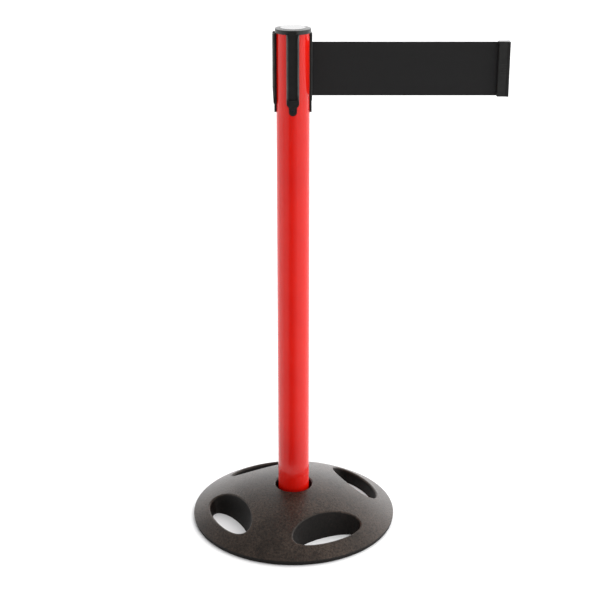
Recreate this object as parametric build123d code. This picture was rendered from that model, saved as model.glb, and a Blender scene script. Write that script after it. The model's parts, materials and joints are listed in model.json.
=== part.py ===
from build123d import *
import os
from math import acos, cos, degrees, pi, sin, sqrt

os.makedirs("parts", exist_ok=True)

# Retractable belt stanchion, in millimetres. The origin is on the floor, on the post's
# axis, and +Z is up. The belt runs out of the head along +X. Receivers for other posts'
# belts face -Y (front), -X (left) and +Y (back).

# Driving dimensions of the whole
post_height = 1016.0
tube_r = 31.75
tube_wall = 1.6
base_r = 207.5
belt_width = 102.0
belt_thick = 0.6
belt_mid_z = 938.2
belt_out_x = 405.0

# Rubber base
base_foot_r = 206.2
base_rim_z = 9.0
base_rim_chamfer = 1.0
base_crown_z = 70.6
base_power = 2.124
neck_r = 37.3
neck_round = 3.5
neck_floor_z = 46.0
socket_z = 26.0
web_z = 14.0
recess_r = 34.0
hole_count = 4
hole_first_angle = 27.4
hole_ring_r = 146.0
hole_low = (67.3, 25.3)
hole_high = (83.0, 36.5)
hole_high_z = 70.0
hole_lip = 3.5

# Bolt through the base
bolt_r = 6.0
bolt_clear_r = 6.6
bolt_head_flat = 19.0
bolt_head_high = 7.5
bolt_length = 45.0
washer_r = 30.0
washer_thick = 3.0
lock_washer_r = 10.5
lock_washer_thick = 2.5
foot_flange = 4.0
foot_top_z = 64.0
nut_low_z = 42.0
nut_high = 10.0

# Head
tube_top_z = 1007.0
slot_half = 7.5
tongue_half = 7.2
tongue_low_z = 855.0
screw_z = 865.0
cassette_r = 29.95
cassette_wall = 2.35
cassette_low_z = 846.0
cassette_floor = 4.0
lid_low_z = 1000.0
lid_high_z = 1004.0

# Receivers
floor_r = 33.6
lip_r = 38.5
receiver_half = 12.0
channel_floor_half = 9.9
channel_mouth_half = 8.3
channel_stop_z = 885.0
tongue_r = 35.3
guide_r = 36.2
guide_tongue_r = 35.3
slot_gap = 1.2

# Spool and belt inside the cassette
spool_hub_r = 9.0
flange_r = 26.5
flange_thick = 1.8
roll_r = 24.9
shaft_r = 4.0
bush_r = 6.5
lead_end_x = 29.6

# Cap
cap_r = 34.2
cap_side_z = 1014.4
disc_r = 24.5
disc_seat = 2.6
cap_screw_ring = 15.0

# Belt end
end_x0 = 383.0
end_half = 7.2
end_high = 104.2
end_neck_x = 400.4
pin_x = 389.6
pin_r = 2.0

inner_tube_r = tube_r - tube_wall
belt_low_z = belt_mid_z - belt_width / 2
belt_high_z = belt_mid_z + belt_width / 2


def rod(radius, z0, z1, x=0.0, y=0.0):
    # A round bar along Z
    bar = Cylinder(radius, z1 - z0, align=(Align.CENTER, Align.CENTER, Align.MIN))
    return Pos(x, y, z0) * bar


def ring(outer, inner, z0, z1, x=0.0, y=0.0):
    return rod(outer, z0, z1, x, y) - rod(inner, z0 - 1, z1 + 1, x, y)


def block(x0, x1, y0, y1, z0, z1):
    return Pos((x0 + x1) / 2, (y0 + y1) / 2, (z0 + z1) / 2) * Box(x1 - x0, y1 - y0, z1 - z0)


def prism_z(points, z0, z1):
    # A plan outline raised from z0 to z1
    face = make_face(Polyline(*points, close=True))
    return Pos(0, 0, z0) * extrude(face, z1 - z0, dir=(0, 0, 1))


def prism_y(points, half):
    # A side outline of (x, z) points, widened by half each way along Y
    wire = Polyline(*[(x, 0, z) for x, z in points], close=True)
    return extrude(make_face(wire), half, both=True)


def turn(shape, angle):
    return Rot(0, 0, angle) * shape


def mirrored(points):
    # Half an outline, on +Y, closed by its mirror image
    return points + [(x, -y) for x, y in reversed(points)]


def save(name, shape):
    shape.label = name
    export_step(shape, f"parts/{name}.step")


# ---- base and post ----

def dome_z(r):
    return base_rim_z + (base_crown_z - base_rim_z) * (1 - (r / base_r) ** base_power)


def dome_body():
    # Turned profile: flat underside with a bolt recess, low dome over a slightly
    # set-back foot, neck and stepped socket
    lip_start = neck_r + neck_round
    spans = 6
    radii = [base_r + (lip_start - base_r) * k / spans for k in range(spans + 1)]
    dome = Spline(*[(r, 0, dome_z(r)) for r in radii])
    lip_z = dome_z(lip_start)
    bow = neck_round * (1 - sqrt(0.5))
    lip_middle = (neck_r + bow, 0, lip_z - bow)
    lip = ThreePointArc((lip_start, 0, lip_z), lip_middle, (neck_r, 0, lip_z - neck_round))
    lower = Polyline(
        (neck_r, 0, lip_z - neck_round),
        (neck_r, 0, neck_floor_z),
        (tube_r + 0.6, 0, neck_floor_z - 4),
        (tube_r + 0.6, 0, socket_z),
        (bolt_clear_r, 0, socket_z),
        (bolt_clear_r, 0, web_z),
        (recess_r, 0, web_z),
        (recess_r, 0, 0),
        (base_foot_r - base_rim_chamfer, 0, 0),
        (base_foot_r, 0, base_rim_chamfer),
        (base_foot_r, 0, base_rim_z - 3.2),
        (base_r - 0.4, 0, base_rim_z - 2.6),
        (base_r, 0, base_rim_z - 1.8),
        (base_r, 0, base_rim_z),
    )
    face = make_face(Wire([dome, lip] + lower.edges()))
    return revolve(face, Axis.Z)


def hand_hole():
    # A tapered oval well on +X, wider at the top
    low = Plane.XY.offset(-2) * Pos(hole_ring_r, 0) * Ellipse(hole_low[1], hole_low[0])
    high = Plane.XY.offset(hole_high_z) * Pos(hole_ring_r, 0) * Ellipse(hole_high[1], hole_high[0])
    return loft([low.face(), high.face()], ruled=True)


def rubber_base():
    body = dome_body()
    for k in range(hole_count):
        body -= turn(hand_hole(), hole_first_angle + 360 / hole_count * k)
    # Round the upper lip of each well: the long rims on the dome that are not circles
    rims = body.edges().filter_by(GeomType.CIRCLE, reverse=True)
    lips = rims.filter_by(lambda edge: edge.length > 2 * hole_low[0] and edge.center().Z > base_rim_z)
    body = fillet(lips, hole_lip)
    circles = body.edges().filter_by(GeomType.CIRCLE)
    return fillet(circles.filter_by(lambda edge: abs(edge.center().Z - base_rim_z) < 0.1), 0.9)


def base_washer():
    return ring(washer_r, bolt_clear_r, web_z - washer_thick, web_z)


def lock_washer():
    top = web_z - washer_thick
    washer = ring(lock_washer_r, bolt_clear_r - 0.4, top - lock_washer_thick, top)
    split = block(0, lock_washer_r + 1, -0.7, 0.7, top - lock_washer_thick - 1, top + 1)
    return washer - split


def base_bolt():
    seat = web_z - washer_thick - lock_washer_thick
    head_outline = RegularPolygon(bolt_head_flat / 2, 6, major_radius=False)
    head = Pos(0, 0, seat - bolt_head_high) * extrude(head_outline, bolt_head_high)
    corner = rod(bolt_head_flat / 2 + 0.9, seat - bolt_head_high, seat)
    corner = chamfer(corner.edges().group_by(Axis.Z)[0], 1.2)
    shank = rod(bolt_r, seat - 0.5, seat + bolt_length)
    shank = chamfer(shank.edges().group_by(Axis.Z)[-1], 1.0)
    return (head & corner) + shank


def post_foot():
    # Moulded plug in the tube's lower end, with a pocket for the captive nut
    plug = rod(tube_r, socket_z, socket_z + foot_flange)
    plug += rod(inner_tube_r, socket_z + foot_flange, foot_top_z)
    plug -= rod(bolt_clear_r, socket_z - 1, foot_top_z + 1)
    pocket = extrude(RegularPolygon(bolt_head_flat / 2, 6, major_radius=False), foot_top_z)
    plug -= Pos(0, 0, nut_low_z) * pocket
    for k in range(6):
        relief = ring(inner_tube_r - 3, 14, nut_low_z, foot_top_z + 1)
        relief &= turn(block(0, 40, -5, 5, nut_low_z, foot_top_z + 1), 30 + 60 * k)
        plug -= relief
    return plug


def foot_nut():
    nut = extrude(RegularPolygon(bolt_head_flat / 2, 6, major_radius=False), nut_high)
    return Pos(0, 0, nut_low_z) * nut - rod(bolt_r, nut_low_z - 1, nut_low_z + nut_high + 1)


def slot_cutter():
    # The open-topped slot on +X that a receiver's tongue passes through
    low = tongue_low_z - 0.3 + slot_half
    cutter = block(20, 40, -slot_half, slot_half, low, tube_top_z + 5)
    cutter += Pos(30, 0, low) * Rot(0, 90, 0) * Cylinder(slot_half, 20)
    return cutter


def post_tube():
    tube = ring(tube_r, inner_tube_r, socket_z + foot_flange, tube_top_z)
    for k in range(4):
        tube -= turn(slot_cutter(), 90 * k)
    return tube


# ---- receivers and belt guide, all drawn facing +X ----

def tongue_front():
    # Front view of a receiver: wide body, round shoulders and a round-ended tongue
    end_z = tongue_low_z + tongue_half
    right = Polyline(
        (0, tongue_half, end_z),
        (0, tongue_half, 870.0),
        (0, receiver_half, 877.0),
        (0, receiver_half, tube_top_z),
        (0, -receiver_half, tube_top_z),
        (0, -receiver_half, 877.0),
        (0, -tongue_half, 870.0),
        (0, -tongue_half, end_z),
    )
    end = ThreePointArc((0, -tongue_half, end_z), (0, 0, tongue_low_z), (0, tongue_half, end_z))
    face = make_face(Wire(right.edges() + [end]))
    shoulders = [v for v in face.vertices() if 869 < v.Z < 878]
    return fillet(shoulders, 3.0)


def tube_keep_out():
    # The tube's own space, less its slot
    return rod(tube_r + 0.1, 840, 1010) - block(0, 40, -tongue_half, tongue_half, 830, 1020)


def head_fitting(plan, side):
    # A fitting is where its front, plan and side views overlap
    front = Pos(cassette_r + 0.1, 0, 0) * extrude(tongue_front(), 20, dir=(1, 0, 0))
    fitting = front & prism_z(plan, 840, 1010) & prism_y(side, 20)
    return fitting - tube_keep_out()


def receiver_plan():
    # Only the tongue's width goes through the tube, the wide part stands just off it
    back = tube_r + 0.2
    return mirrored([
        (20, tongue_half),
        (back, tongue_half),
        (back, receiver_half - 0.8),
        (back + 0.8, receiver_half),
        (lip_r - 2.6, receiver_half),
        (lip_r - 1.0, receiver_half - 0.8),
        (lip_r, receiver_half - 2.4),
    ])


def receiver_side():
    return [
        (20, 850),
        (tongue_r - 0.6, 850),
        (tongue_r, 856),
        (tongue_r, 872),
        (36.6, 873.4),
        (lip_r, 905),
        (lip_r, tube_top_z - 1.2),
        (lip_r - 1.2, tube_top_z),
        (20, tube_top_z),
    ]


def channel():
    # Dovetail channel, open at the top, with a lead-in where a belt end is dropped in
    outline = mirrored([(floor_r, channel_floor_half), (lip_r + 1, channel_mouth_half - 0.34)])
    cut = prism_z(outline, channel_stop_z, tube_top_z + 1)
    lead = prism_y([(floor_r, 998), (lip_r + 1, 998), (lip_r + 1, 1012), (floor_r, 1012)], 9.9)
    lead_plan = mirrored([(floor_r, 10.3), (lip_r + 1, channel_mouth_half + 0.6)])
    return cut + (lead & prism_z(lead_plan, 1001, 1012))


def screw_seat(outer_r):
    head = Pos(outer_r + 1, 0, screw_z) * Rot(0, 90, 0) * Cylinder(3.1, 5.2)
    shank = Pos(30, 0, screw_z) * Rot(0, 90, 0) * Cylinder(1.7, 20)
    return head + shank


def receiver():
    return head_fitting(receiver_plan(), receiver_side()) - channel() - screw_seat(tongue_r)


def guide_plan():
    return mirrored([
        (20, tongue_half),
        (guide_r - 1.2, tongue_half),
        (guide_r - 0.4, tongue_half - 0.7),
        (guide_r, tongue_half - 1.8),
    ])


def guide_side():
    return [
        (20, 850),
        (guide_tongue_r - 0.6, 850),
        (guide_tongue_r, 856),
        (guide_tongue_r, 878),
        (guide_r, 880),
        (guide_r, tube_top_z - 1.2),
        (guide_r - 1.2, tube_top_z),
        (20, tube_top_z),
    ]


def belt_slot():
    # Belt opening with a flared mouth on both sides
    slot = block(20, 45, -slot_gap, slot_gap, belt_low_z - 1.2, belt_high_z + 1.2)
    mouth = mirrored([(guide_r - 1.4, slot_gap), (guide_r + 0.1, slot_gap + 1.5)])
    slot += prism_z(mouth, belt_low_z - 1.2, belt_high_z + 1.2)
    return slot


def belt_guide():
    return head_fitting(guide_plan(), guide_side()) - belt_slot() - screw_seat(guide_tongue_r)


def receiver_screws():
    screws = []
    for angle, outer_r in ((-90, tongue_r), (180, tongue_r), (90, tongue_r), (0, guide_tongue_r)):
        head = Pos(outer_r - 0.7, 0, screw_z) * Rot(0, 90, 0) * Cylinder(2.9, 1.4)
        head = fillet(head.edges().group_by(Axis.X)[-1], 0.6)
        cross = Box(1.4, 3.0, 0.7) + Box(1.4, 0.7, 3.0)
        head -= Pos(outer_r, 0, screw_z) * cross
        tip_r = cassette_r - cassette_wall
        run = outer_r - 1.0 - tip_r
        shank = Pos(tip_r + run / 2, 0, screw_z) * Rot(0, 90, 0) * Cylinder(1.5, run)
        screws.append(turn(head + shank, angle))
    return Compound(children=screws)


# ---- cassette ----

def cassette_body():
    inner = cassette_r - cassette_wall
    body = ring(cassette_r, inner, cassette_low_z, lid_low_z)
    body += rod(cassette_r, cassette_low_z, cassette_low_z + cassette_floor)
    body += rod(8, cassette_low_z + cassette_floor - 1, cassette_low_z + cassette_floor + 1)
    body -= rod(shaft_r, cassette_low_z - 1, cassette_low_z + 10)
    # Window that the belt leaves by
    body -= block(15, 35, -4, 8, belt_low_z - 2, belt_high_z + 2)
    for k in range(4):
        hole = Pos(28, 0, screw_z) * Rot(0, 90, 0) * Cylinder(1.5, 12)
        body -= turn(hole, 90 * k)
    return body


def cassette_lid():
    lid = rod(cassette_r, lid_low_z, lid_high_z) - rod(shaft_r, lid_low_z - 1, lid_high_z + 1)
    for k in range(2):
        lid -= turn(rod(2.0, lid_low_z + 0.6, lid_high_z + 1, cap_screw_ring), 45 + 180 * k)
    return lid


def spool_shaft():
    shaft = rod(shaft_r, cassette_low_z + 0.5, lid_high_z - 0.5)
    return chamfer(shaft.edges().filter_by(GeomType.CIRCLE), 0.5)


def spool():
    low = belt_low_z - 1.2 - flange_thick
    high = belt_high_z + 1.2 + flange_thick
    body = rod(spool_hub_r, low, high)
    body += rod(flange_r, low, low + flange_thick)
    body += rod(flange_r, high - flange_thick, high)
    # Bush seats at both ends, and a relief between them
    body -= rod(bush_r, low - 1, low + 9)
    body -= rod(bush_r, high - 9, high + 1)
    body -= rod(shaft_r + 1.2, low, high)
    for k in range(6):
        body -= turn(rod(3.5, low - 1, high + 1, 17.5) - rod(60, low + flange_thick, high - flange_thick),
                     60 * k)
    return body


def bush(z0, z1):
    return ring(bush_r, shaft_r + 0.05, z0, z1)


def lower_bush():
    low = belt_low_z - 1.2 - flange_thick
    return bush(low - 1.0, low + 9)


def upper_bush():
    high = belt_high_z + 1.2 + flange_thick
    return bush(high - 9, high + 0.6)


def belt_roll():
    return ring(roll_r, spool_hub_r, belt_low_z, belt_high_z)


def belt_lead_in():
    # Short run of belt from the roll to the guide's slot, tangent to the roll
    radius = roll_r + belt_thick / 2 + 0.3
    run = sqrt(lead_end_x ** 2 - radius ** 2)
    bar = Pos(-run / 2, 0, belt_mid_z) * Box(run, belt_thick, belt_width)
    heading = degrees(acos(radius / lead_end_x)) - 90
    lead = Pos(lead_end_x, 0, 0) * Rot(0, 0, heading) * bar
    return lead & block(0, lead_end_x, -40, 40, belt_low_z, belt_high_z)


def spring_case():
    low = cassette_low_z + cassette_floor + 1.2
    case = rod(27.3, low, low + 22) - rod(26.3, low + 1.0, low + 23)
    return case - rod(8.2, low - 1, low + 2)


def power_spring():
    # Flat spiral of spring steel, hooked to the arbor inside and the case outside
    turns = 7
    steps = turns * 8
    inner, outer, strip = 8.6, 25.6, 0.5
    low = cassette_low_z + cassette_floor + 3.4
    line = Spline(*[
        ((inner + (outer - inner) * k / steps) * cos(2 * pi * k / 8),
         (inner + (outer - inner) * k / steps) * sin(2 * pi * k / 8))
        for k in range(steps + 1)
    ])
    face = trace(line, strip)
    return Pos(0, 0, low) * extrude(face, 16)


def spring_arbor():
    low = cassette_low_z + cassette_floor + 3.0
    top = belt_low_z - 1.2 - flange_thick
    arbor = ring(8.0, shaft_r + 0.05, low, top - 1.0)
    arbor += ring(12.0, bush_r, top - 2.5, top)
    arbor -= rod(bush_r, top - 1.2, top + 1)
    return arbor


def brake_drum():
    return ring(27.3, 25.2, 992.5, lid_low_z)


def brake_hub():
    low = belt_high_z + 1.2 + flange_thick
    hub = ring(9.6, shaft_r + 0.8, low + 0.7, low + 7.6)
    bar = block(-2.4, 2.4, -21, 21, low + 0.7, low + 2.2) - rod(shaft_r + 0.8, low, low + 8)
    return hub + bar


def brake_shoe(angle):
    # Weighted shoe that slides out on the hub's bar and rubs on the drum
    low = belt_high_z + 1.2 + flange_thick + 2.6
    shoe = ring(24.2, 15.0, low, low + 5.0) & block(0, 30, -17, 17, low, low + 5.0)
    return turn(shoe, angle)


# ---- cap ----

def cap_profile():
    seat_z = post_height - disc_seat
    outline = Polyline(
        (0, 0, lid_high_z),
        (inner_tube_r - 0.1, 0, lid_high_z),
        (inner_tube_r - 0.1, 0, tube_top_z),
        (cap_r, 0, tube_top_z),
        (cap_r, 0, cap_side_z),
        (cap_r - 0.8, 0, cap_side_z + 0.35),
        (disc_r + 0.3, 0, post_height - 0.3),
        (disc_r + 0.3, 0, seat_z),
        (0, 0, seat_z),
        close=True,
    )
    return make_face(outline)


def cap():
    body = revolve(cap_profile(), Axis.Z)
    seat_z = post_height - disc_seat
    for k in range(2):
        body -= turn(rod(2.2, lid_high_z - 1, seat_z + 1, cap_screw_ring), 45 + 180 * k)
        body -= turn(rod(4.2, seat_z - 3, seat_z + 1, cap_screw_ring), 45 + 180 * k)
    # Notches in the rim carry on the three receivers' channels
    for angle in (-90, 180, 90):
        notch = mirrored([(floor_r - 0.1, channel_mouth_half + 0.4), (cap_r + 2, channel_mouth_half + 1.0)])
        body -= turn(prism_z(notch, tube_top_z - 1, post_height + 1), angle)
    return body


def cap_disc():
    disc = rod(disc_r, post_height - disc_seat, post_height)
    return fillet(disc.edges().group_by(Axis.Z)[-1], 0.7)


def cap_screws():
    seat_z = post_height - disc_seat - 3
    screws = []
    for k in range(2):
        head = rod(3.8, seat_z, seat_z + 2.4, cap_screw_ring)
        head = fillet(head.edges().group_by(Axis.Z)[-1], 0.8)
        head -= Pos(cap_screw_ring, 0, seat_z + 2.4) * (Box(4.0, 0.9, 2.4) + Box(0.9, 4.0, 2.4))
        head += rod(2.0, lid_low_z + 0.6, seat_z + 0.5, cap_screw_ring)
        screws.append(turn(head, 45 + 180 * k))
    return Compound(children=screws)


# ---- belt and its end ----

def belt_strip():
    strip = block(lead_end_x, pin_x - 2.2, -belt_thick / 2, belt_thick / 2, belt_low_z, belt_high_z)
    loop = ring(pin_r + 0.05 + belt_thick, pin_r + 0.05, belt_low_z, belt_high_z, pin_x)
    return strip + loop


def end_outline():
    return mirrored([
        (end_x0, end_half - 2.0),
        (end_x0 + 0.6, end_half - 0.6),
        (end_x0 + 2.0, end_half),
        (end_neck_x - 1.0, end_half),
        (end_neck_x, end_half + 0.3),
        (belt_out_x - 0.8, end_half + 2.0),
        (belt_out_x, end_half + 1.4),
    ])


def end_shell():
    low = belt_mid_z - end_high / 2
    high = belt_mid_z + end_high / 2
    shell = prism_z(end_outline(), low, high)
    shell = chamfer(shell.edges().group_by(Axis.Z)[0] + shell.edges().group_by(Axis.Z)[-1], 0.6)
    # Room for the belt, its hem and the pin
    shell -= block(end_x0 - 1, pin_x, -0.6, 0.6, belt_low_z - 0.3, belt_high_z + 0.3)
    shell -= rod(pin_r + belt_thick + 0.4, belt_low_z - 0.3, belt_high_z + 0.3, pin_x)
    shell -= rod(pin_r, low + 0.5, high - 0.5, pin_x)
    for side in (-1, 1):
        for k in range(5):
            groove_z = belt_mid_z + (k - 2) * 5
            y = side * end_half
            shell -= block(end_x0 + 3, end_neck_x - 3, y - 0.4, y + 0.4, groove_z - 0.8, groove_z + 0.8)
    return shell


def end_screw_places():
    return [(end_x0 + 12.4, belt_mid_z - 40), (end_x0 + 12.4, belt_mid_z + 40)]


def end_screw_bores():
    bores = []
    for x, z in end_screw_places():
        bores.append(Pos(x, 1.5, z) * Rot(90, 0, 0) * Cylinder(1.3, 10.2))
        bores.append(Pos(x, end_half, z) * Rot(90, 0, 0) * Cylinder(2.7, 3.6))
    return bores


def belt_end_body():
    half = end_shell() & block(end_x0 - 1, belt_out_x + 1, -20, 0, 800, 1000)
    for bore in end_screw_bores():
        half -= bore
    return half


def belt_end_cover():
    half = end_shell() & block(end_x0 - 1, belt_out_x + 1, 0, 20, 800, 1000)
    for bore in end_screw_bores():
        half -= bore
    return half


def belt_end_pin():
    return rod(pin_r, belt_mid_z - end_high / 2 + 0.5, belt_mid_z + end_high / 2 - 0.5, pin_x)


def belt_end_screws():
    screws = []
    for x, z in end_screw_places():
        shank = Pos(x, 1.2, z) * Rot(90, 0, 0) * Cylinder(1.3, 9.4)
        head = Pos(x, end_half - 1.0, z) * Rot(90, 0, 0) * Cylinder(2.5, 1.6)
        cross = Box(2.8, 1.2, 0.6) + Box(0.6, 1.2, 2.8)
        head -= Pos(x, end_half - 0.2, z) * cross
        screws.append(shank + head)
    return Compound(children=screws)


makers = {
    "rubber_base": rubber_base,
    "base_washer": base_washer,
    "lock_washer": lock_washer,
    "base_bolt": base_bolt,
    "post_foot": post_foot,
    "foot_nut": foot_nut,
    "post_tube": post_tube,
    "belt_guide": belt_guide,
    "receiver_screws": receiver_screws,
    "cassette_body": cassette_body,
    "cassette_lid": cassette_lid,
    "spool_shaft": spool_shaft,
    "spool": spool,
    "lower_bush": lower_bush,
    "upper_bush": upper_bush,
    "belt_roll": belt_roll,
    "belt_lead_in": belt_lead_in,
    "spring_case": spring_case,
    "power_spring": power_spring,
    "spring_arbor": spring_arbor,
    "brake_drum": brake_drum,
    "brake_hub": brake_hub,
    "cap": cap,
    "cap_disc": cap_disc,
    "cap_screws": cap_screws,
    "belt_strip": belt_strip,
    "belt_end_body": belt_end_body,
    "belt_end_cover": belt_end_cover,
    "belt_end_pin": belt_end_pin,
    "belt_end_screws": belt_end_screws,
}

for name, maker in makers.items():
    save(name, maker())

for name, angle in (("receiver_front", -90), ("receiver_left", 180), ("receiver_back", 90)):
    save(name, turn(receiver(), angle))

for name, angle in (("brake_shoe_a", 90), ("brake_shoe_b", -90)):
    save(name, brake_shoe(angle))
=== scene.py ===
import json
import math
import bpy
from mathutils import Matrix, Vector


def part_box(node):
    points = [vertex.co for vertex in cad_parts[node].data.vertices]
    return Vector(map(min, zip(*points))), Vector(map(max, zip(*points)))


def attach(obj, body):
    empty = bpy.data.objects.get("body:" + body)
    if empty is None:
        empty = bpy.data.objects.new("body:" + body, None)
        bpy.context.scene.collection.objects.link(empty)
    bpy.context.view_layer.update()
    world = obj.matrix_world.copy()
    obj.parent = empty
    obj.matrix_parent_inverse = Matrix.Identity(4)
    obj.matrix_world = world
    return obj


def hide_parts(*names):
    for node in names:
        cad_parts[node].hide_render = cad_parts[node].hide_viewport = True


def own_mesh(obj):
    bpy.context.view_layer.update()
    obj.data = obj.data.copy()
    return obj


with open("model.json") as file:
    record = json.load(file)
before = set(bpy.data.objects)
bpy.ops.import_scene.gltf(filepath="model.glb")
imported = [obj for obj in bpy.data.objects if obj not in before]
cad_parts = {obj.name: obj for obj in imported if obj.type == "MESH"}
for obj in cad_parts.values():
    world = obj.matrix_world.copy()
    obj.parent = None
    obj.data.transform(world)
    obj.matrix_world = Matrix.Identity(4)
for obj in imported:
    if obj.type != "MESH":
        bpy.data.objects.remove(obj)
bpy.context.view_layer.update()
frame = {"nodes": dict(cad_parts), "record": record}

nodes = frame["nodes"]
print("frame loaded:", len(nodes), "nodes")


# camera first, everything else is seen through it
camera = {
    "place": (0.0132, -2.514, 1.437),
    "tiltDown": 18.42,      # degrees below level
    "lens": 81.4,           # mm, on a 36 mm sensor
    "shiftUp": -0.1,        # a little drop, so the tube keeps nearly even width
}


def placeCamera():
    data = bpy.data.cameras.new("studioCamera")
    data.sensor_width = 36.0
    data.lens = camera["lens"]
    data.shift_y = camera["shiftUp"]
    data.clip_end = 200.0
    body = bpy.data.objects.new("studioCamera", data)
    body.location = camera["place"]
    body.rotation_euler = (math.radians(90 - camera["tiltDown"]), 0, 0)
    bpy.context.scene.collection.objects.link(body)
    bpy.context.scene.camera = body


placeCamera()
print("camera placed")


# short ways to build a node material
def startMaterial(name, **fixed):
    # a new material whose unchanging values sit on the shader's own sockets
    material = bpy.data.materials.new(name)
    material.use_nodes = True
    tree = material.node_tree
    shader = tree.nodes["Principled BSDF"]
    for socket, value in fixed.items():
        shader.inputs[socket.replace("_", " ")].default_value = value
    return material, tree, shader


def addNode(tree, kind, values=None, **settings):
    node = tree.nodes.new(kind)
    for key, value in settings.items():
        setattr(node, key, value)
    for key, value in (values or {}).items():
        node.inputs[key].default_value = value
    return node


def placeCoords(tree, stretch=(1, 1, 1)):
    # real metres on the object, stretched for grain that runs one way
    coords = addNode(tree, "ShaderNodeTexCoord")
    mapping = addNode(tree, "ShaderNodeMapping", {"Scale": stretch})
    tree.links.new(coords.outputs["Object"], mapping.inputs["Vector"])
    return mapping.outputs["Vector"]


def noise(tree, coords, scale, detail=4.0, rough=0.55):
    node = addNode(tree, "ShaderNodeTexNoise", {"Scale": scale, "Detail": detail, "Roughness": rough})
    tree.links.new(coords, node.inputs["Vector"])
    return node.outputs["Fac"]


def crumbs(tree, coords, scale):
    # distance to the middle of the nearest crumb
    node = addNode(tree, "ShaderNodeTexVoronoi", {"Scale": scale}, feature="F1")
    tree.links.new(coords, node.inputs["Vector"])
    return node.outputs["Distance"]


def reckon(tree, operation, first, *others):
    # texture values put together one after another, by MULTIPLY or ADD
    for other in others:
        step = addNode(tree, "ShaderNodeMath", operation=operation)
        tree.links.new(first, step.inputs[0])
        tree.links.new(other, step.inputs[1])
        first = step.outputs["Value"]
    return first


def shaded(tree, colour, share):
    # a colour made darker or paler by a texture value
    mixed = addNode(tree, "ShaderNodeMix", {"Factor": 1.0}, data_type="RGBA", blend_type="MULTIPLY")
    tree.links.new(colour, mixed.inputs["A"])
    tree.links.new(share, mixed.inputs["B"])
    return mixed.outputs["Result"]


def spread(tree, value, low, high, fromLow=0.3, fromHigh=0.7):
    # a texture value stretched to the range that a socket needs, and held at its ends
    node = addNode(tree, "ShaderNodeMapRange",
                   {"From Min": fromLow, "From Max": fromHigh, "To Min": low, "To Max": high})
    tree.links.new(value, node.inputs["Value"])
    return node.outputs["Result"]


def tint(tree, value, stops):
    # colours along a texture value: stops are (position, (r, g, b))
    node = addNode(tree, "ShaderNodeValToRGB")
    ramp = node.color_ramp
    while len(ramp.elements) < len(stops):
        ramp.elements.new(0.5)
    for element, (position, colour) in zip(ramp.elements, stops):
        element.position = position
        element.color = (*colour, 1)
    tree.links.new(value, node.inputs["Fac"])
    return node.outputs["Color"]


def raiseGrain(tree, shader, heights):
    # stacked bumps, heights are (texture value, strength, depth in metres)
    last = None
    for value, strength, depth in heights:
        bump = addNode(tree, "ShaderNodeBump", {"Strength": strength, "Distance": depth})
        tree.links.new(value, bump.inputs["Height"])
        if last:
            tree.links.new(last, bump.inputs["Normal"])
        last = bump.outputs["Normal"]
    tree.links.new(last, shader.inputs["Normal"])


# red powder coat, baked glossy over steel
powderCoat = {
    "deep": (0.63, 0.0055, 0.0020),
    "bright": (0.72, 0.0095, 0.0032),
    "clouds": 9.0,                # slow change of shade, to the metre
    "gloss": (0.10, 0.17),        # roughness, smoothest and dullest
    "glossPatches": 60.0,
    "orangePeel": 420.0,          # bumps to the metre
    "peelDepth": 0.00004,
}


def makePowderCoat():
    material, tree, shader = startMaterial("redPowderCoat", IOR=1.5, Specular_IOR_Level=0.37,
                                           Coat_Weight=0.12, Coat_Roughness=0.06)
    coords = placeCoords(tree)
    clouds = noise(tree, coords, powderCoat["clouds"], 3.0)
    colour = tint(tree, clouds, [(0.3, powderCoat["deep"]), (0.7, powderCoat["bright"])])
    tree.links.new(colour, shader.inputs["Base Color"])
    patches = noise(tree, coords, powderCoat["glossPatches"], 5.0)
    tree.links.new(spread(tree, patches, *powderCoat["gloss"]), shader.inputs["Roughness"])
    peel = noise(tree, coords, powderCoat["orangePeel"], 2.0, 0.4)
    raiseGrain(tree, shader, [(peel, 0.25, powderCoat["peelDepth"])])
    return material


# recycled rubber, moulded with a dull skin over fine crumb
rubber = {
    "dark": (0.013, 0.0085, 0.006),
    "light": (0.038, 0.0265, 0.020),
    "bloom": 14.0,                # slow change of shade, to the metre
    "mottle": 230.0,              # pale and dark crumbs to the metre
    "mottleShade": (0.35, 1.9),
    "mottleDepth": 0.0006,
    "crumb": 900.0,
    "crumbDepth": 0.00018,
    "swell": 26.0,                # unevenness of the moulded skin
    "swellDepth": 0.0006,
    "dullness": (0.23, 0.37),
    "dullPatches": 420.0,
    "steep": (0.15, 0.55),        # how far up a face looks, where it is all wall and where all top
    "paintedWallShade": 0.16,            # painted shade: how much darker steep faces, the walls of the wells among them, are painted
    "wallDullness": 0.35,         # and how much rougher
}


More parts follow.
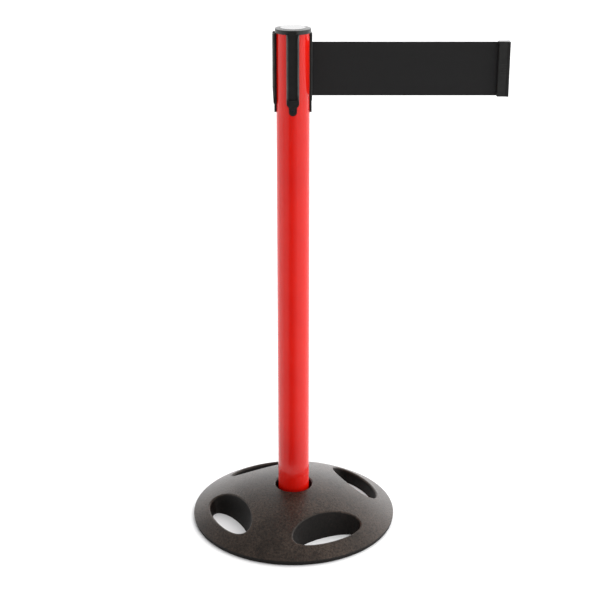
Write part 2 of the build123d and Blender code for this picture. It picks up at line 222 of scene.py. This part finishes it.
def makeRubber():
    material, tree, shader = startMaterial(
        "recycledRubber", IOR=1.5, Specular_IOR_Level=0.26, Sheen_Weight=0.015, Sheen_Roughness=0.3,
        Sheen_Tint=(0.80, 0.76, 0.90, 1))
    coords = placeCoords(tree)
    bloom = noise(tree, coords, rubber["bloom"], 6.0, 0.6)
    colour = tint(tree, bloom, [(0.30, rubber["dark"]), (0.72, rubber["light"])])
    mottle = noise(tree, coords, rubber["mottle"], 6.0, 0.7)
    shade = spread(tree, mottle, *rubber["mottleShade"], 0.36, 0.66)
    # steep faces get painted shade, so the walls of the wells are painted nearly black, and they are made
    # duller too
    facing = addNode(tree, "ShaderNodeSeparateXYZ")
    tree.links.new(addNode(tree, "ShaderNodeNewGeometry").outputs["Normal"], facing.inputs["Vector"])
    wallPaintedShade = spread(tree, facing.outputs["Z"], rubber["paintedWallShade"], 1.0, *rubber["steep"])
    cut = spread(tree, facing.outputs["Z"], rubber["wallDullness"], 0.0, *rubber["steep"])
    # random crumb tone times the painted shade on steep faces
    tree.links.new(shaded(tree, colour, reckon(tree, "MULTIPLY", shade, wallPaintedShade)), shader.inputs["Base Color"])
    patches = noise(tree, coords, rubber["dullPatches"], 5.0, 0.6)
    dull = spread(tree, patches, *rubber["dullness"])
    tree.links.new(reckon(tree, "ADD", dull, cut), shader.inputs["Roughness"])
    raiseGrain(tree, shader, [
        (noise(tree, coords, rubber["swell"], 2.0), 0.30, rubber["swellDepth"]),
        (mottle, 0.6, rubber["mottleDepth"]),
        (crumbs(tree, coords, rubber["crumb"]), 0.25, rubber["crumbDepth"]),
    ])
    return material


def makePlastic(name, dark, light, dullness, grainScale, grainDepth, **fixed):
    # moulded plastic with a spark-eroded grain
    material, tree, shader = startMaterial(name, **fixed)
    coords = placeCoords(tree)
    clouds = noise(tree, coords, 55.0, 5.0)
    tree.links.new(tint(tree, clouds, [(0.32, dark), (0.70, light)]), shader.inputs["Base Color"])
    grain = noise(tree, coords, grainScale, 3.0, 0.5)
    tree.links.new(spread(tree, grain, *dullness), shader.inputs["Roughness"])
    raiseGrain(tree, shader, [(grain, 0.4, grainDepth)])
    return material


# black nylon, with a painted highlight that makes the receivers' outer lips paler
nylon = {
    "deep": (0.0075, 0.0075, 0.007),
    "paintedLipHighlight": (0.044, 0.043, 0.040),
    "lipHighlightReach": (0.0356, 0.0374),     # metres from the post's axis, where it starts and is full
    "lipHighlightHeight": (0.884, 0.890),      # metres up, at the channels' stops
    "headReach": (0.05, 0.06),           # metres from the axis, where the painted highlight on the head ends
    "clouds": 90.0,
    "dullness": (0.28, 0.42),
    "grain": 1300.0,
    "grainDepth": 0.00006,
}


def makeNylon():
    material, tree, shader = startMaterial("blackNylon", IOR=1.5, Specular_IOR_Level=0.5)
    reach = addNode(tree, "ShaderNodeVectorMath", operation="LENGTH")
    tree.links.new(placeCoords(tree, (1, 1, 0)), reach.inputs[0])
    height = addNode(tree, "ShaderNodeSeparateXYZ")
    tree.links.new(placeCoords(tree), height.inputs["Vector"])
    outward = spread(tree, reach.outputs["Value"], 0.0, 1.0, *nylon["lipHighlightReach"])
    onHead = spread(tree, reach.outputs["Value"], 1.0, 0.0, *nylon["headReach"])
    above = spread(tree, height.outputs["Z"], 0.0, 1.0, *nylon["lipHighlightHeight"])
    # painted highlight: outer lips near the channels' stops are painted paler, standing in for the light
    # they catch
    lipHighlight = reckon(tree, "MULTIPLY", outward, onHead, above)
    colour = tint(tree, lipHighlight, [(0.0, nylon["deep"]), (1.0, nylon["paintedLipHighlight"])])
    coords = placeCoords(tree)
    clouds = spread(tree, noise(tree, coords, nylon["clouds"], 6.0), 0.7, 1.4)
    tree.links.new(shaded(tree, colour, clouds), shader.inputs["Base Color"])
    grain = noise(tree, coords, nylon["grain"], 3.0, 0.5)
    tree.links.new(spread(tree, grain, *nylon["dullness"]), shader.inputs["Roughness"])
    raiseGrain(tree, shader, [(grain, 0.4, nylon["grainDepth"])])
    return material


def makeSteel(name, dark, light, dullness, stretch):
    # plated or blued steel, its grain drawn out one way
    material, tree, shader = startMaterial(name, Metallic=1.0)
    coords = placeCoords(tree, stretch)
    streaks = noise(tree, coords, 130.0, 6.0)
    tree.links.new(tint(tree, streaks, [(0.3, dark), (0.7, light)]), shader.inputs["Base Color"])
    tree.links.new(spread(tree, streaks, *dullness), shader.inputs["Roughness"])
    raiseGrain(tree, shader, [(streaks, 0.15, 0.00005)])
    return material


# black polyester webbing
webbing = {
    "yarnDark": (0.009, 0.009, 0.009),
    "yarnLight": (0.025, 0.0243, 0.025),
    "pickPitch": 0.0013,     # one yarn across the belt
    "endPitch": 0.0010,      # one yarn along the belt
    "yarnDepth": 0.00014,
    "fibre": 500.0,
    "dullness": (0.62, 0.82),
}


def bands(tree, coords, pitch, direction):
    # the wave texture repeats every 2 pi / 20 of its scaled length
    scale = math.tau / 20 / pitch
    node = addNode(tree, "ShaderNodeTexWave", {"Scale": scale, "Distortion": 0.0},
                   wave_type="BANDS", bands_direction=direction, wave_profile="SIN")
    tree.links.new(coords, node.inputs["Vector"])
    return node.outputs["Fac"]


def makeWebbing():
    material, tree, shader = startMaterial("beltWebbing", Specular_IOR_Level=0.18, Sheen_Weight=0.03,
                                           Sheen_Roughness=0.4)
    coords = placeCoords(tree)
    picks = bands(tree, coords, webbing["pickPitch"], "X")
    ends = bands(tree, coords, webbing["endPitch"], "Z")
    fibre = noise(tree, placeCoords(tree, (1, 1, 6)), webbing["fibre"], 3.0)
    together = addNode(tree, "ShaderNodeMath", {1: 0.3}, operation="MULTIPLY_ADD")
    tree.links.new(fibre, together.inputs[0])
    tree.links.new(reckon(tree, "MULTIPLY", picks, ends), together.inputs[2])
    height = together.outputs["Value"]
    colour = tint(tree, height, [(0.1, webbing["yarnDark"]), (0.95, webbing["yarnLight"])])
    tree.links.new(colour, shader.inputs["Base Color"])
    tree.links.new(spread(tree, fibre, *webbing["dullness"]), shader.inputs["Roughness"])
    raiseGrain(tree, shader, [(height, 0.6, webbing["yarnDepth"])])
    return material


finishes = {
    "red_powder_coat": makePowderCoat(),
    "recycled_rubber": makeRubber(),
    "belt_webbing": makeWebbing(),
    "black_nylon": makeNylon(),
    "cap_gloss": makePlastic("capGloss", (0.016, 0.016, 0.018), (0.022, 0.022, 0.025),
                             (0.09, 0.17), 700.0, 0.000006, IOR=1.45),
    "grey_nylon": makePlastic("greyNylon", (0.13, 0.135, 0.14), (0.19, 0.195, 0.20),
                              (0.45, 0.60), 1100.0, 0.00006, IOR=1.5),
    "white_acetal": makePlastic("whiteAcetal", (0.70, 0.69, 0.64), (0.80, 0.79, 0.75),
                                (0.30, 0.42), 900.0, 0.00003, IOR=1.48),
    "zinc_steel": makeSteel("zincSteel", (0.50, 0.50, 0.48), (0.68, 0.68, 0.66),
                            (0.22, 0.38), (1, 1, 1)),
    "black_screw": makeSteel("blackScrew", (0.05, 0.05, 0.06), (0.10, 0.10, 0.13),
                             (0.25, 0.40), (1, 1, 1)),
    "spring_steel": makeSteel("springSteel", (0.16, 0.18, 0.24), (0.30, 0.31, 0.34),
                              (0.25, 0.38), (1, 1, 8)),
}

for part in frame["record"]["subparts"]:
    node = nodes[part["node"]]
    for place in node.material_slots:
        place.material = finishes[part["material_slot"]]
print("finishes put on", len(nodes), "CAD nodes")


# the belt that is out of the head: one flat web with thicker woven edges
belt = {
    "thick": 0.0006,
    "travel": 0.3465,          # how far its end runs back to the guide
    "edgeWidth": 0.0026,       # woven selvedge
    "edgeSwell": 0.00012,      # how much thicker it is each side
    "edgeRound": 0.0005,
    "ripple": 0.0014,          # bow out of the flat plane, small enough to slide into both fittings
    "stations": 220,           # cross-sections along it
    "across": 46,              # points from one edge to the other
}


def webSection(low, high):
    # one cross-section as (y, z) points, up one face and down the other
    face = []
    for k in range(belt["across"] + 1):
        share = 0.5 - 0.5 * math.cos(math.pi * k / belt["across"])
        z = low + (high - low) * share
        edge = min(z - low, high - z)
        swell = belt["edgeSwell"] * max(0.0, 1 - (edge / belt["edgeWidth"] - 0.5) ** 4)
        rounding = math.sqrt(max(0.0, 1 - max(0.0, 1 - edge / belt["edgeRound"]) ** 2))
        face.append(((belt["thick"] / 2 + swell) * rounding, z))
    back = [(-y, z) for y, z in reversed(face[1:-1])]
    return face + back


def bow(x, z, start, end, middle):
    # a taut web still cups a little near the guide, and lies flat towards its end
    share = min(max((x - start) / (end - start), 0.0), 1.0)
    loose = math.sin(math.pi * share) ** 2 * (1 - share) ** 3
    along = math.sin(7 * share + 14 * (z - middle))
    across = 0.5 * math.cos(60 * (z - middle))
    return belt["ripple"] * loose * (along + across)


def makeBeltWeb():
    low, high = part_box("belt_strip")
    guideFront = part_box("belt_guide")[1].x
    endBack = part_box("belt_end_body")[0].x
    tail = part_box("belt_end_pin")[0].x - 0.0002    # just short of the pin
    middle = (low.z + high.z) / 2
    section = webSection(low.z, high.z)
    ring = len(section)
    points, faces = [], []
    for k in range(belt["stations"] + 1):
        x = low.x + (tail - low.x) * k / belt["stations"]
        for y, z in section:
            points.append((x, y + bow(x, z, guideFront, endBack, middle), z))
    for k in range(belt["stations"]):
        for j in range(ring):
            a, b = k * ring + j, k * ring + (j + 1) % ring
            faces.append((a, b, b + ring, a + ring))
    faces.append(tuple(reversed(range(ring))))
    faces.append(tuple(range(belt["stations"] * ring, (belt["stations"] + 1) * ring)))
    mesh = bpy.data.meshes.new("beltWeb")
    mesh.from_pydata(points, [], faces)
    mesh.shade_smooth()
    web = bpy.data.objects.new("beltWeb", mesh)
    bpy.context.scene.collection.objects.link(web)
    mesh.materials.append(finishes["belt_webbing"])
    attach(web, "post")
    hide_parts("belt_strip")
    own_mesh(web)


makeBeltWeb()
print("belt woven")


# studio: pale floor, light from all round that is brighter on the right, and a dim
# gap in front, so that gloss keeps a clean dark core down its middle
studio = {
    "floorHalf": 40.0,        # metres
    "floorPale": (0.88, 0.88, 0.885),
    "leftLight": 0.78,
    "rightLight": 2.28,
    "frontLight": 0.72,       # how much of that reaches the front, the back and the top
    "backLight": 1.5,
    "topLight": 0.40,
    "dimGap": 0.14,
    "gapHeading": -13.0,      # degrees from the front, towards the belt side is positive
    "gapHalf": (14.0, 45.0),  # fully dim inside the first angle, fully lit outside the second
    "sunStrength": 1.75,
    "sunSpread": 70.0,        # degrees across, wide enough for a soft shadow
    "sunTilt": (-14, 16),     # degrees about x and y
    "clothReach": (0.26, 30.0),
    # how pale the cloth in front is, by degrees from the front
    "cloth": [(-75, 0.62), (-46, 0.54), (-27, 0.05), (-3, 0.05), (17, 0.34), (42, 0.70), (75, 0.92)],
}


def makeFloor():
    half = studio["floorHalf"]
    corners = [(-half, -half, 0), (half, -half, 0), (half, half, 0), (-half, half, 0)]
    mesh = bpy.data.meshes.new("studioFloor")
    mesh.from_pydata(corners, [], [(0, 1, 2, 3)])
    floor = bpy.data.objects.new("studioFloor", mesh)
    bpy.context.scene.collection.objects.link(floor)
    material, tree, shader = startMaterial("paleFloor", Roughness=0.7)
    coords = placeCoords(tree)
    pale = studio["floorPale"]
    colour = tint(tree, noise(tree, coords, 6.0, 6.0), [(0.3, tuple(0.985 * c for c in pale)), (0.7, pale)])
    tree.links.new(colour, shader.inputs["Base Color"])
    mesh.materials.append(material)


def hangSun():
    data = bpy.data.lights.new("softSun", "SUN")
    data.energy = studio["sunStrength"]
    data.angle = math.radians(studio["sunSpread"])
    lamp = bpy.data.objects.new("softSun", data)
    lamp.rotation_euler = (*(math.radians(angle) for angle in studio["sunTilt"]), 0)
    lamp.visible_glossy = False    # it lifts the floor and tops without a glare
    bpy.context.scene.collection.objects.link(lamp)


def layCloth():
    # a cloth on the floor in front, dark in its middle, there for the reflections only
    near, far = studio["clothReach"]
    inner, outer = [], []
    turns = [math.radians(degrees - 90) for degrees in range(-75, 76, 5)]
    for turn in turns:
        inner.append((near * math.cos(turn), near * math.sin(turn), 0))
        outer.append((far * math.cos(turn), far * math.sin(turn), 0))
    count = len(turns)
    faces = [(k, count + k, count + k + 1, k + 1) for k in range(count - 1)]
    mesh = bpy.data.meshes.new("frontCloth")
    mesh.from_pydata(inner + outer, [], faces)
    cloth = bpy.data.objects.new("frontCloth", mesh)
    cloth.location.z = 0.002
    bpy.context.scene.collection.objects.link(cloth)
    material, tree, shader = startMaterial("clothDye", Roughness=0.95, Specular_IOR_Level=0.1)
    sweep = addNode(tree, "ShaderNodeTexGradient", gradient_type="RADIAL")
    tree.links.new(placeCoords(tree), sweep.inputs["Vector"])
    stops = [(0.25 + degrees / 360, (grey, grey, grey)) for degrees, grey in studio["cloth"]]
    tree.links.new(tint(tree, sweep.outputs["Fac"], stops), shader.inputs["Base Color"])
    mesh.materials.append(material)
    cloth.visible_camera = False
    cloth.visible_shadow = False
    cloth.visible_diffuse = False
    cloth.visible_transmission = False


def makeWorld():
    world = bpy.data.worlds.new("studioWorld")
    world.use_nodes = True
    tree = world.node_tree
    coords = addNode(tree, "ShaderNodeTexCoord").outputs["Generated"]
    axes = addNode(tree, "ShaderNodeSeparateXYZ")
    tree.links.new(coords, axes.inputs["Vector"])
    sides = spread(tree, axes.outputs["X"], studio["leftLight"], studio["rightLight"], -0.7, 0.7)
    heading = math.radians(studio["gapHeading"])
    towards = addNode(tree, "ShaderNodeVectorMath", operation="DOT_PRODUCT")
    towards.inputs[1].default_value = (math.sin(heading), -math.cos(heading), 0)
    tree.links.new(coords, towards.inputs[0])
    inner, outer = (math.cos(math.radians(angle)) for angle in studio["gapHalf"])
    gap = addNode(tree, "ShaderNodeMapRange", {"From Min": outer, "From Max": inner,
                  "To Min": 1.0, "To Max": studio["dimGap"]}, interpolation_type="SMOOTHSTEP")
    tree.links.new(towards.outputs["Value"], gap.inputs["Value"])
    depth = spread(tree, axes.outputs["Y"], studio["frontLight"], studio["backLight"], -0.7, 0.7)
    height = spread(tree, axes.outputs["Z"], 1.0, studio["topLight"], 0.25, 0.9)
    strength = reckon(tree, "MULTIPLY", gap.outputs["Result"], sides, depth, height)
    background = tree.nodes["Background"]
    background.inputs["Color"].default_value = (1, 1, 1, 1)
    tree.links.new(strength, background.inputs["Strength"])
    bpy.context.scene.world = world
    bpy.context.scene.view_settings.view_transform = "Standard"


makeFloor()
layCloth()
hangSun()
makeWorld()
print("studio lit")
